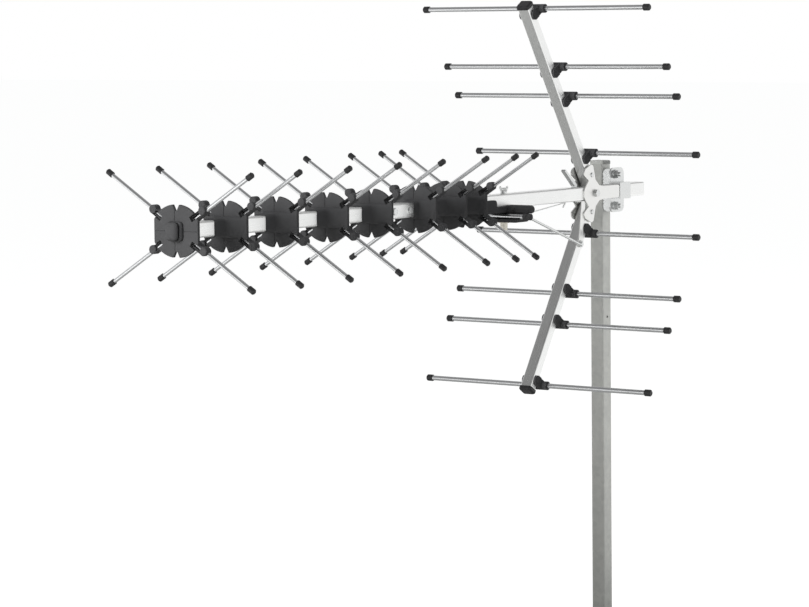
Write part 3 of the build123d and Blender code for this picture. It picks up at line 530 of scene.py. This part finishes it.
def hubDisc(look):
    plate = roundBar(0, (0, 0, 0), look["discRadius"], look["discFront"], look["discBack"], sides=96)
    bpy.ops.object.mode_set(mode="EDIT")
    bpy.ops.transform.resize(value=(1, 1, look["discSquash"]))
    for side in (1, -1):
        bpy.ops.mesh.select_all(action="SELECT")
        bpy.ops.mesh.bisect(plane_co=(0, side * look["discHalfWidth"] * mm, 0), plane_no=(0, side, 0),
                            use_fill=True, clear_outer=True)
    bpy.ops.object.mode_set(mode="OBJECT")
    cutNotches(plate, look)
    softRim(plate, look["discRim"])
    return plate


def cutNotches(plate, look):
    top = look["discRadius"] * look["discSquash"]
    beyond = 2 * past
    slope = (look["notchRim"] - look["notchFloor"]) / look["notchDepth"]
    for side in (1, -1):
        wedge = block((look["discFront"] - past, -0.5, -0.5), (look["discBack"] + past, 0.5, 0.5))
        for corner in wedge.data.vertices:
            # the wedge runs on past the rim with the same slope
            reach = beyond if corner.co.z * side > 0 else -look["notchDepth"]
            width = look["notchFloor"] + slope * (reach + look["notchDepth"])
            corner.co.y = math.copysign(width / 2 * mm, corner.co.y)
            corner.co.z = side * (top + reach) * mm
        combine(plate, wedge, "DIFFERENCE")


def flareSteps(look, flare):
    # place along the boom, width and height of each step, as shares of the collar's side
    yield flare, 1.0, 1.0
    for number in range(1, look["flareSteps"] + 1):
        share = number / look["flareSteps"]
        wide = 1 + (2 * (look["discHalfWidth"] - 1) / look["collarSide"] - 1) * share ** look["flareRise"]
        tall = 1 + (look["flareHeight"] / look["collarSide"] - 1) * share
        yield flare + (look["discFront"] + look["flareSink"] - flare) * share, wide, tall


def hubCollar(look, reach):
    # the collar is drawn ahead from its lip to the flare, which opens to the disc's two sides
    half = look["collarSide"] / 2
    place = look["lipLength"] - reach
    collar = block((-reach, -half, -half), (place, half, half), look["collarCorner"], 5, along=0)
    taper = look["lipSide"] / look["collarSide"]
    for corner in collar.data.vertices:
        if corner.co.x < (0.1 - reach) * mm:
            corner.co.y *= taper
            corner.co.z *= taper
    selectOnly(collar)
    for face in collar.data.polygons:
        face.select = face.normal.x > 0.9
    for edge in collar.data.edges:
        edge.select = False
    bpy.ops.object.mode_set(mode="EDIT")
    bpy.ops.mesh.select_mode(type="FACE")
    wideBefore, tallBefore = 1.0, 1.0
    for x, wide, tall in flareSteps(look, max(look["flareStart"], place + 2)):
        bpy.ops.mesh.extrude_region_move(TRANSFORM_OT_translate={"value": ((x - place) * mm, 0, 0)})
        bpy.ops.transform.resize(value=(1, wide / wideBefore, tall / tallBefore), center_override=(0, 0, 0))
        place, wideBefore, tallBefore = x, wide, tall
    bpy.ops.object.mode_set(mode="OBJECT")
    return collar


def hubNose(look):
    half, wide, tall = look["collarSide"] / 2, look["noseWidth"] / 2, look["noseHeight"] / 2
    nose = block((look["ringFront"], -half, -half), (look["ringBack"], half, half), look["ringCorner"], 5)
    pillow = block((look["noseFront"], -wide, -tall), (look["noseBack"], wide, tall), look["noseRound"], 6)
    combine(nose, pillow, "UNION")
    return nose


def hubArms(body, look, angles):
    deep, half = look["armHalfDepth"], look["armWidth"] / 2
    for angle in angles:
        arm = block((-deep, look["armStart"], -half), (deep, look["armReach"], half), look["armEdge"], 2)
        turnAboutBoom(arm, angle)
        combine(body, arm, "UNION")
    for angle in angles:
        # each arm shows its rod through a slot, in a pocket that the disc leaves open
        (start, end), inside = look["pocket"], half - look["armEdge"]
        pocket = block((-2 * look["armReach"], start, -inside), (look["pocketFloor"], end, inside),
                       look["pocketEdge"], 2, along=0)
        turnAboutBoom(pocket, angle)
        combine(body, pocket, "DIFFERENCE")
        (start, end), inside = look["slot"], look["slotWidth"] / 2
        slot = block((-deep - 2 * past, start, -inside), (0, end, inside), look["slotEdge"], 3, along=0)
        turnAboutBoom(slot, angle)
        combine(body, slot, "DIFFERENCE")


def hubBosses(body, look, angles):
    # a thick round end on each arm, a little above the rod, holds it
    out, aside = look["bossPlace"]
    for angle in angles:
        upward = math.copysign(aside, math.cos(math.radians(angle)))
        boss = roundBar(0, (0, out, upward), look["bossRadius"], look["bossFront"], look["armHalfDepth"])
        softRim(boss, look["bossEdge"])
        turnAboutBoom(boss, angle)
        combine(body, boss, "UNION")


def hubSeams(body, look, frontEnd):
    # fine grooves on the disc's front run up and down from the collar, and also sideways on the front hub
    front, rear = look["discFront"] - past, look["discFront"] + look["seamDepth"]
    near, far, half = look["collarSide"] / 2 + 1, look["discRadius"], look["seam"] / 2
    for start, end in ((near, far), (-far, -near)):
        combine(body, block((front, look["seamAside"] - half, start), (rear, look["seamAside"] + half, end)),
                "DIFFERENCE")
    if frontEnd:
        for start, end in ((near, far), (-far, -near)):
            combine(body, block((front, start, -half), (rear, end, half)), "DIFFERENCE")


def mouldHub(look, reach, angles, frontEnd):
    body = hubDisc(look)
    half = look["coreSide"] / 2
    core = block((look["coreFront"], -half, -half), (look["coreBack"], half, half), look["coreCorner"], 4)
    combine(body, core, "UNION")
    combine(body, hubNose(look) if frontEnd else hubCollar(look, reach), "UNION")
    hubArms(body, look, angles)
    hubBosses(body, look, angles)
    hubSeams(body, look, frontEnd)
    start, end, half = look["boreStop"] if frontEnd else -2 * reach, 2 * look["armReach"], look["bore"] / 2
    combine(body, block((start, -half, -half), (end, half, half), look["boreCorner"], 3, along=0), "DIFFERENCE")
    return body


def placeHubs(look):
    moulds = {}  # the front hub, and one for each length of collar
    for number, node in enumerate(hubs, start=1):
        rodsLow, rodsHigh = lowHigh("director_rods_%d" % number)
        middle = (rodsLow + rodsHigh) / 2
        reach = round((middle.x - lowHigh(node)[0].x) / mm, 1)
        lean = math.degrees(math.atan2(rodsHigh.z - rodsLow.z, rodsHigh.y - rodsLow.y))
        kind = (number == 1, reach)
        if kind not in moulds:
            moulds[kind] = mouldHub(look, reach, (lean, 180 - lean, 180 + lean, -lean), number == 1)
            finishPiece(moulds[kind], "hubMould%d" % number)
        hub = moulds[kind].copy()
        hub.data = moulds[kind].data.copy()
        bpy.context.scene.collection.objects.link(hub)
        hub.name = hub.data.name = "directorHub%d" % number
        settle(hub, middle, blackAbs, "moulded_abs", node)
    for mould in moulds.values():
        bpy.data.objects.remove(mould)
    note("%d hubs from %d moulds" % (len(hubs), len(moulds)))


placeHubs(hubLook)

# The dipole's pieces, from the boom's axis under the wing nut's screw, -X ahead
screwLow, screwHigh = lowHigh("dipole_screw")
underNut = Vector(((screwLow.x + screwHigh.x) / 2, boomCentre.y, boomCentre.z))

# Housing: a rounded bar across under the boom, whose cradle runs ahead to a hump by the last hub
housingLook = {
    "front": -7.5,
    "rear": 7.5,
    "halfLength": 42.4,
    "top": -5.0,
    "split": -15.4,
    "corner": 4.9,
    "edge": 1.2,
    "wall": 1.8,
    "roof": -10.8,
    "recessPlace": (21.0, -11.6),
    "recessRadius": 2.7,
    "recessDepth": 1.2,
    "cradleFront": -59.0,
    "cradleHalf": 11.2,
    "cradleHeight": (-14.0, -6.0),
    "cradleEdge": 1.0,
    "humpRear": -31.0,
    "humpHeight": (-12.0, 2.7),
    "humpCorner": 5.0,
    "boomLength": 80.0,
}


def dipoleHousing(look):
    half, front, rear, wall = look["halfLength"], look["front"], look["rear"], look["wall"]
    housing = block((front, -half, look["split"]), (rear, half, look["top"]), look["corner"], 5, along=0)
    softRim(housing, look["edge"])
    (bottom, top), side = look["cradleHeight"], look["cradleHalf"]
    cradle = block((look["cradleFront"], -side, bottom), (0, side, top), look["cradleEdge"], 2)
    bottom, top = look["humpHeight"]
    hump = block((look["cradleFront"], -side, bottom), (look["humpRear"], side, top),
                 look["humpCorner"], 4, along=1)
    combine(cradle, hump, "UNION")
    combine(housing, cradle, "UNION")
    boom, run = hubLook["bore"] / 2, look["boomLength"]
    combine(housing, block((-run, -boom, -boom), (run, boom, boom)), "DIFFERENCE")
    aside, down = look["recessPlace"]
    for way in (1, -1):
        recess = roundBar(0, (0, way * aside, down), look["recessRadius"], front - past,
                          front + look["recessDepth"])
        combine(housing, recess, "DIFFERENCE")
    cavity = block((front + wall, wall - half, look["split"] - past), (rear - wall, half - wall, look["roof"]))
    combine(housing, cavity, "DIFFERENCE")
    finishPiece(housing, "dipoleHousing")
    settle(housing, underNut, blackAbs, "moulded_abs", "dipole_housing")


# Lid: a shallow tray under the housing, with a ledge ahead on which the tube lies
lidLook = {
    "front": -17.3,
    "halfLength": 33.0,
    "bottom": -26.0,
    "corner": 4.0,
    "ledgeTop": -21.9,
    "ledgeRear": -8.8,
    "stock": 8.0,
}


def dipoleLid(look, housing):
    # the stock stands higher than the split, so that only the tray's bottom edges are round
    half, bottom, split = look["halfLength"], look["bottom"], housing["split"]
    rear, wall, above = housing["rear"], housing["wall"], look["stock"] + past
    lid = block((look["front"], -half, bottom), (rear, half, split + look["stock"]), look["corner"], 4, along=0)
    stock = block((look["front"] - past, -half - past, split), (rear + past, half + past, above))
    combine(lid, stock, "DIFFERENCE")
    overLedge = block((look["front"] - 2 * past, -half - 2 * past, look["ledgeTop"]),
                      (look["ledgeRear"], half + 2 * past, above + past))
    combine(lid, overLedge, "DIFFERENCE")
    inside = block((housing["front"] + wall, wall - half, bottom + wall),
                   (rear - wall, half - wall, above + 2 * past))
    combine(lid, inside, "DIFFERENCE")
    finishPiece(lid, "dipoleLid")
    settle(lid, underNut, blackAbs, "moulded_abs", "dipole_lid")


# End caps of the dipole's tube, each with a groove round it
endCapLook = {
    "radius": 4.2,
    "start": 38.6,
    "end": 49.9,
    "edge": 0.7,
    "groove": (44.0, 45.8),
    "grooveDepth": 0.6,
    "socketRadius": 3.15,
    "socketEnd": 40.2,
}


def dipoleEndCaps(look):
    tubeLow, tubeHigh = lowHigh("dipole_tube")
    axis = ((tubeLow + tubeHigh) / 2 - underNut) / mm
    cap = roundBar(1, axis, look["radius"], look["start"], look["end"])
    softRim(cap, look["edge"])
    ring = roundBar(1, axis, look["radius"] + past, *look["groove"])
    combine(ring, roundBar(1, axis, look["radius"] - look["grooveDepth"], 0, 2 * look["end"]), "DIFFERENCE")
    combine(cap, ring, "DIFFERENCE")
    socket = roundBar(1, axis, look["socketRadius"], look["start"] - past, look["socketEnd"])
    combine(cap, socket, "DIFFERENCE")
    twin = cap.copy()
    twin.data = cap.data.copy()
    bpy.context.scene.collection.objects.link(twin)
    twin.scale.y = -1
    selectOnly(twin)
    bpy.ops.object.transform_apply(location=False, rotation=False, scale=True)
    cap.select_set(True)
    bpy.context.view_layer.objects.active = cap
    bpy.ops.object.join()
    finishPiece(cap, "dipoleEndCaps")
    settle(cap, underNut, blackAbs, "cap_polyethylene", "dipole_end_caps")


# Board inside the housing, with its balun and small parts on top
boardLook = {
    "half": (5.0, 38.0),
    "height": (-19.2, -17.7),
    "edge": 0.4,
    "parts": ((-18, 6), (-4, 9), (14, 5), (24, 3)),
    "partAcross": (-3.0, 2.5),
    "partHeight": 1.6,
    "partSink": 0.3,
}


def dipoleBoard(look):
    (across, along), (bottom, top) = look["half"], look["height"]
    board = block((-across, -along, bottom), (across, along, top), look["edge"], 2)
    near, far = look["partAcross"]
    for start, size in look["parts"]:
        part = block((near, start, top - look["partSink"]), (far, start + size, top + look["partHeight"]),
                     look["partSink"], 2)
        combine(board, part, "UNION")
    finishPiece(board, "circuitBoard")
    settle(board, underNut, greenLaminate, "circuit_laminate", "circuit_board")


# Stay: a wire from the housing's rear up to the boom's underside, its cut end bent down
stayLook = {
    "radius": 0.9,
    "route": ((6.0, 3.0, -24.4), (10.0, 3.0, -24.4), (146.0, 3.0, -10.2), (146.0, 3.0, -8.4)),
    "tail": ((146.0, 3.0, -10.4), (141.0, 3.0, -16.0)),
}


def wireAlong(points, radius):
    line = bpy.data.curves.new("wire", "CURVE")
    line.dimensions = "3D"
    line.bevel_depth = radius * mm
    line.bevel_resolution = 3
    line.use_fill_caps = True
    spline = line.splines.new("POLY")
    spline.points.add(len(points) - 1)
    for spot, point in zip(spline.points, points):
        spot.co = (*(Vector(point) * mm), 1.0)
    wire = bpy.data.objects.new("wire", line)
    bpy.context.scene.collection.objects.link(wire)
    selectOnly(wire)
    bpy.ops.object.convert(target="MESH")
    return bpy.context.active_object


def dipoleStay(look):
    stay = wireAlong(look["route"], look["radius"])
    combine(stay, wireAlong(look["tail"], look["radius"]), "UNION")
    finishPiece(stay, "dipoleStay")
    settle(stay, underNut, zincPlated, "zinc_plated_steel")


dipoleHousing(housingLook)
dipoleLid(lidLook, housingLook)
dipoleEndCaps(endCapLook)
dipoleBoard(boardLook)
dipoleStay(stayLook)
note("dipole")


# The floor is pale and plain, lifted to white for the camera, and its shadows stay. Reflections
# show a white room round the object, dimmer overhead and ahead of it; in them the floor glows with painted
# light, with a painted shade patch close under the object.
studio = {
    "floorHeight": -0.002,
    "floorSize": 60.0,
    "floorColour": "#c9c9c7",
    "floorLift": 0.82,
    # painted shade in the floor's reflections: the painted glow fades out towards this point close under the
    # object
    "paintedShadeCentre": (-0.5, 0.3, 0),
    "paintedShadeFrom": 0.5,
    "paintedShadeTo": 1.6,
    "worldColour": "#eef0f2",
    "worldStrength": 0.33,
    "roomAhead": 0.62,
    "aheadFrom": -0.5,  # of the direction looked in, from straight ahead at -1
    "aheadTo": 0.35,
    "roomOverhead": 0.38,
    "overFrom": 0.25,  # of the direction looked in, to straight up at 1
    "overTo": 0.6,
}


def makeFloor():
    bpy.ops.mesh.primitive_plane_add(size=studio["floorSize"], location=(0, 0, studio["floorHeight"]))
    floor = bpy.context.active_object
    floor.name = "studioFloor"
    material, tree, shader = newMaterial("matt studio paper", {"Roughness": 0.9, "Specular IOR Level": 0.0,
                                                              "Base Color": linear(studio["floorColour"]),
                                                              "Emission Color": (1, 1, 1, 1)})
    rays = addNode(tree, "ShaderNodeLightPath")
    spot = addNode(tree, "ShaderNodeTexCoord")
    # painted reflection: for glossy rays the floor glows, except in a painted shade patch close under the
    # object where the glow fades out
    away = addNode(tree, "ShaderNodeVectorMath", {"operation": "DISTANCE"},
                   {0: spot.outputs["Object"], 1: studio["paintedShadeCentre"]})
    paintedGlowShare = addNode(tree, "ShaderNodeMapRange", {"interpolation_type": "SMOOTHSTEP"},
                     {"Value": away.outputs["Value"], "From Min": studio["paintedShadeFrom"],
                      "From Max": studio["paintedShadeTo"]})
    glossy = addNode(tree, "ShaderNodeMath", {"operation": "MULTIPLY"},
                     {0: paintedGlowShare.outputs["Result"], 1: rays.outputs["Is Glossy Ray"]})
    straight = addNode(tree, "ShaderNodeMath", {"operation": "MAXIMUM"},
                       {0: rays.outputs["Is Camera Ray"], 1: rays.outputs["Is Transmission Ray"]})
    seen = addNode(tree, "ShaderNodeMath", {"operation": "MAXIMUM"},
                   {0: glossy.outputs["Value"], 1: straight.outputs["Value"]})
    lift = addNode(tree, "ShaderNodeMath", {"operation": "MULTIPLY"},
                   {0: seen.outputs["Value"], 1: studio["floorLift"]})
    tree.links.new(lift.outputs["Value"], shader.inputs["Emission Strength"])
    floor.data.materials.append(material)
    deselectAll()


def makeWorld():
    world = bpy.data.worlds.new("softStudio")
    bpy.context.scene.world = world
    world.use_nodes = True
    tree = world.node_tree
    tree.nodes.clear()
    rays = addNode(tree, "ShaderNodeLightPath")
    spot = addNode(tree, "ShaderNodeTexCoord")
    way = addNode(tree, "ShaderNodeSeparateXYZ", {}, {"Vector": spot.outputs["Generated"]})
    front = addNode(tree, "ShaderNodeMapRange", {"interpolation_type": "SMOOTHSTEP"},
                    {"Value": way.outputs["X"], "From Min": studio["aheadFrom"],
                     "From Max": studio["aheadTo"], "To Min": studio["roomAhead"], "To Max": 1.0})
    over = addNode(tree, "ShaderNodeMapRange", {"interpolation_type": "SMOOTHSTEP"},
                   {"Value": way.outputs["Z"], "From Min": studio["overFrom"],
                    "From Max": studio["overTo"], "To Min": 1.0, "To Max": studio["roomOverhead"]})
    room = addNode(tree, "ShaderNodeMath", {"operation": "MULTIPLY"},
                   {0: front.outputs["Result"], 1: over.outputs["Result"]})
    straight = addNode(tree, "ShaderNodeMath", {"operation": "MAXIMUM"},
                       {0: rays.outputs["Is Camera Ray"], 1: rays.outputs["Is Transmission Ray"]})
    strength = addNode(tree, "ShaderNodeMath", {"operation": "MAXIMUM"},
                       {0: room.outputs["Value"], 1: straight.outputs["Value"]})
    seen = addNode(tree, "ShaderNodeMath", {"operation": "MAXIMUM"},
                   {0: straight.outputs["Value"], 1: rays.outputs["Is Glossy Ray"]})
    soft = addNode(tree, "ShaderNodeBackground", {},
                   {"Color": linear(studio["worldColour"]), "Strength": studio["worldStrength"]})
    white = addNode(tree, "ShaderNodeBackground", {},
                    {"Color": (1, 1, 1, 1), "Strength": strength.outputs["Value"]})
    mixed = addNode(tree, "ShaderNodeMixShader", {},
                    {0: seen.outputs["Value"], 1: soft.outputs["Background"], 2: white.outputs["Background"]})
    addNode(tree, "ShaderNodeOutputWorld", {}, {"Surface": mixed.outputs["Shader"]})


# Soft boxes: a large one ahead, weak ones on the boom's near side and above. Metal doesn't show
# them, it shows the room.
lamps = {
    "ahead": {"place": (-4.0, 0.5, 1.5), "aim": (-0.4, 0, 0.55), "size": 2.0, "power": 115},
    "nearSide": {"place": (1.6, -3.2, 1.2), "aim": (-0.35, 0, 0.5), "size": 2.4, "power": 7},
    "above": {"place": (-0.4, 0.3, 3.4), "aim": (-0.3, 0, 0.4), "size": 1.6, "power": 12},
}


def makeLamps():
    for name, lamp in lamps.items():
        place, aim = Vector(lamp["place"]), Vector(lamp["aim"])
        bpy.ops.object.light_add(type="AREA", location=place)
        light = bpy.context.active_object
        light.name = name
        light.data.shape = "SQUARE"
        light.data.size = lamp["size"]
        light.data.energy = lamp["power"]
        light.visible_glossy = False
        light.rotation_euler = (aim - place).to_track_quat("-Z", "Y").to_euler()
    deselectAll()


# The camera stands ahead of the antenna, on the near side and a little high
camera = {
    "place": (-3.593, -2.2832, 0.810),
    "heading": 35.97,  # from +X towards +Y
    "pitch": -5.11,
    "roll": -0.60,
    "lens": 141.96,
    "sensor": 36.0,
    "clip": (0.1, 60.0),
}


def makeCamera():
    heading, pitch = math.radians(camera["heading"]), math.radians(camera["pitch"])
    level = math.cos(pitch)
    ahead = Vector((math.cos(heading) * level, math.sin(heading) * level, math.sin(pitch)))
    bpy.ops.object.camera_add(location=camera["place"])
    made = bpy.context.active_object
    made.data.lens = camera["lens"]
    made.data.sensor_width = camera["sensor"]
    made.rotation_mode = "QUATERNION"
    upright = ahead.to_track_quat("-Z", "Y")
    made.rotation_quaternion = upright @ Quaternion((0, 0, 1), math.radians(camera["roll"]))
    made.data.clip_start, made.data.clip_end = camera["clip"]
    bpy.context.scene.camera = made
    deselectAll()


makeFloor()
makeWorld()
makeLamps()
makeCamera()
bpy.context.scene.view_settings.view_transform = "Standard"
note("studio and camera")

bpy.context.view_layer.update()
note("sizes written")
